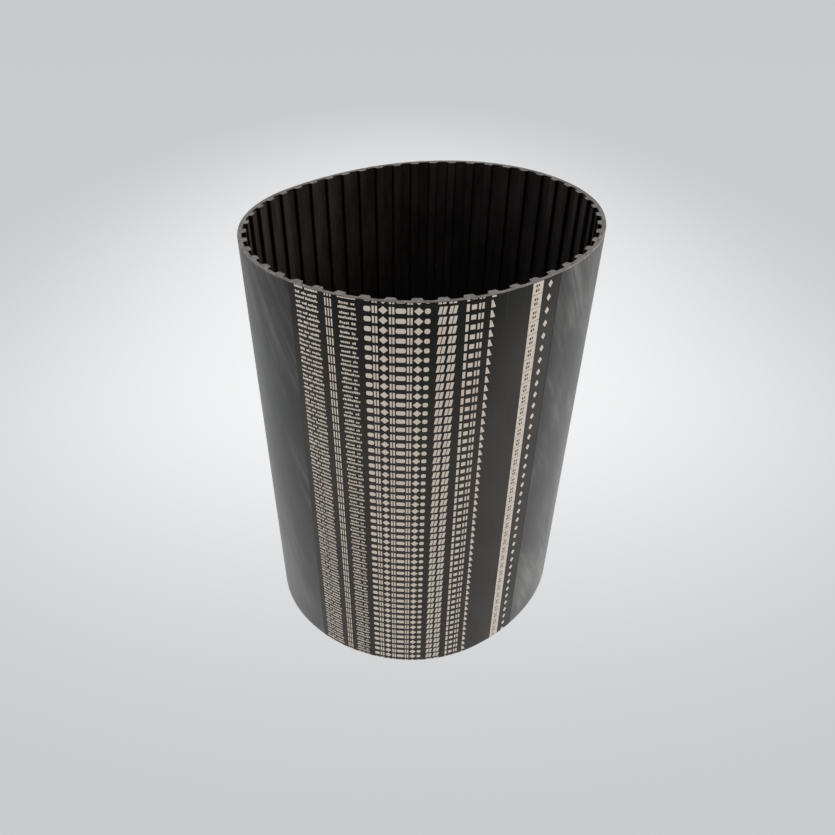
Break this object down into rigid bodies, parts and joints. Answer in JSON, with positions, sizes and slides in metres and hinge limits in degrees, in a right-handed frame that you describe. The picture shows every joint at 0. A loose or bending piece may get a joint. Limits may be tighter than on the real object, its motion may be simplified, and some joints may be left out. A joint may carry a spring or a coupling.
{
  "type": "timing belt sleeve",
  "caption": "Wide endless timing-belt sleeve standing on its cut edge: black rubber back with printed marking, trapezoidal teeth inside, flexing oval loop.",
  "frame": {"origin": "centre of the loop's box, on the lower cut edge", "axes": "+Z along the belt's width, straight up from the cut edge it stands on; +X along the oval's long axis"},
  "size_m": [0.162, 0.1435, 0.206],
  "materials": {
    "backing_rubber": "satin",
    "tension_cord": "matte",
    "tooth_rubber": "matte",
    "facing_fabric": "matte",
    "marking_film": "matte",
    "marking_ink": "matte"
  },
  "bodies": {
    "segment_01": {"backing_01": "backing_rubber", "cord_ply_01": "tension_cord", "teeth_01": "tooth_rubber", "facing_01": "facing_fabric"},
    "segment_02": {"backing_02": "backing_rubber", "cord_ply_02": "tension_cord", "teeth_02": "tooth_rubber", "facing_02": "facing_fabric"},
    "segment_03": {"backing_03": "backing_rubber", "cord_ply_03": "tension_cord", "teeth_03": "tooth_rubber", "facing_03": "facing_fabric"},
    "segment_04": {"backing_04": "backing_rubber", "cord_ply_04": "tension_cord", "teeth_04": "tooth_rubber", "facing_04": "facing_fabric"},
    "segment_05": {"backing_05": "backing_rubber", "cord_ply_05": "tension_cord", "teeth_05": "tooth_rubber", "facing_05": "facing_fabric"},
    "segment_06": {"backing_06": "backing_rubber", "cord_ply_06": "tension_cord", "teeth_06": "tooth_rubber", "facing_06": "facing_fabric", "marking_film_06": "marking_film", "marking_print_06": "marking_ink"},
    "segment_07": {"backing_07": "backing_rubber", "cord_ply_07": "tension_cord", "teeth_07": "tooth_rubber", "facing_07": "facing_fabric", "marking_film_07": "marking_film", "marking_print_07": "marking_ink"},
    "segment_08": {"backing_08": "backing_rubber", "cord_ply_08": "tension_cord", "teeth_08": "tooth_rubber", "facing_08": "facing_fabric", "marking_film_08": "marking_film", "marking_print_08": "marking_ink"},
    "segment_09": {"backing_09": "backing_rubber", "cord_ply_09": "tension_cord", "teeth_09": "tooth_rubber", "facing_09": "facing_fabric"},
    "segment_10": {"backing_10": "backing_rubber", "cord_ply_10": "tension_cord", "teeth_10": "tooth_rubber", "facing_10": "facing_fabric"}
  },
  "joints": [
    {"name": "flex_07", "type": "hinge", "parent": "segment_07", "child": "segment_06", "pos_m": [-0.06284, -0.04494, 0.103], "axis": [0, 0, -1], "range_deg": [-4.36, 6.54]},
    {"name": "squeeze", "type": "hinge", "parent": "segment_06", "child": "segment_05", "pos_m": [-0.07957, -0.00116, 0.103], "axis": [0, 0, -1], "range_deg": [-14, 21], "stiffness_Nm_per_rad": 0.3},
    {"name": "flex_05", "type": "hinge", "parent": "segment_05", "child": "segment_04", "pos_m": [-0.06613, 0.04354, 0.103], "axis": [0, 0, -1], "range_deg": [-4.31, 6.46]},
    {"name": "flex_04", "type": "hinge", "parent": "segment_04", "child": "segment_03", "pos_m": [-0.02668, 0.06822, 0.103], "axis": [0, 0, -1], "range_deg": [-16.31, 10.88]},
    {"name": "flex_03", "type": "hinge", "parent": "segment_03", "child": "segment_02", "pos_m": [0.02067, 0.06826, 0.103], "axis": [0, 0, -1], "range_deg": [-17.18, 11.46]},
    {"name": "flex_08", "type": "hinge", "parent": "segment_07", "child": "segment_08", "pos_m": [-0.0228, -0.06881, 0.103], "axis": [0, 0, 1], "range_deg": [-16.57, 11.05]},
    {"name": "flex_09", "type": "hinge", "parent": "segment_08", "child": "segment_09", "pos_m": [0.02432, -0.06624, 0.103], "axis": [0, 0, 1], "range_deg": [-17.47, 11.65]},
    {"name": "flex_10", "type": "hinge", "parent": "segment_09", "child": "segment_10", "pos_m": [0.06363, -0.04055, 0.103], "axis": [0, 0, 1], "range_deg": [-4.53, 6.79]},
    {"name": "flex_01", "type": "hinge", "parent": "segment_10", "child": "segment_01", "pos_m": [0.07967, 0.00326, 0.103], "axis": [0, 0, 1], "range_deg": [-14.55, 21.81]}
  ],
  "couplings": [
    {"joint": "flex_07", "follows": "squeeze", "ratio": 0.3103},
    {"joint": "flex_05", "follows": "squeeze", "ratio": 0.3066},
    {"joint": "flex_04", "follows": "squeeze", "ratio": -0.7759},
    {"joint": "flex_03", "follows": "squeeze", "ratio": -0.8171},
    {"joint": "flex_08", "follows": "squeeze", "ratio": -0.788},
    {"joint": "flex_09", "follows": "squeeze", "ratio": -0.8309},
    {"joint": "flex_10", "follows": "squeeze", "ratio": 0.3222},
    {"joint": "flex_01", "follows": "squeeze", "ratio": 1.0377}
  ]
}
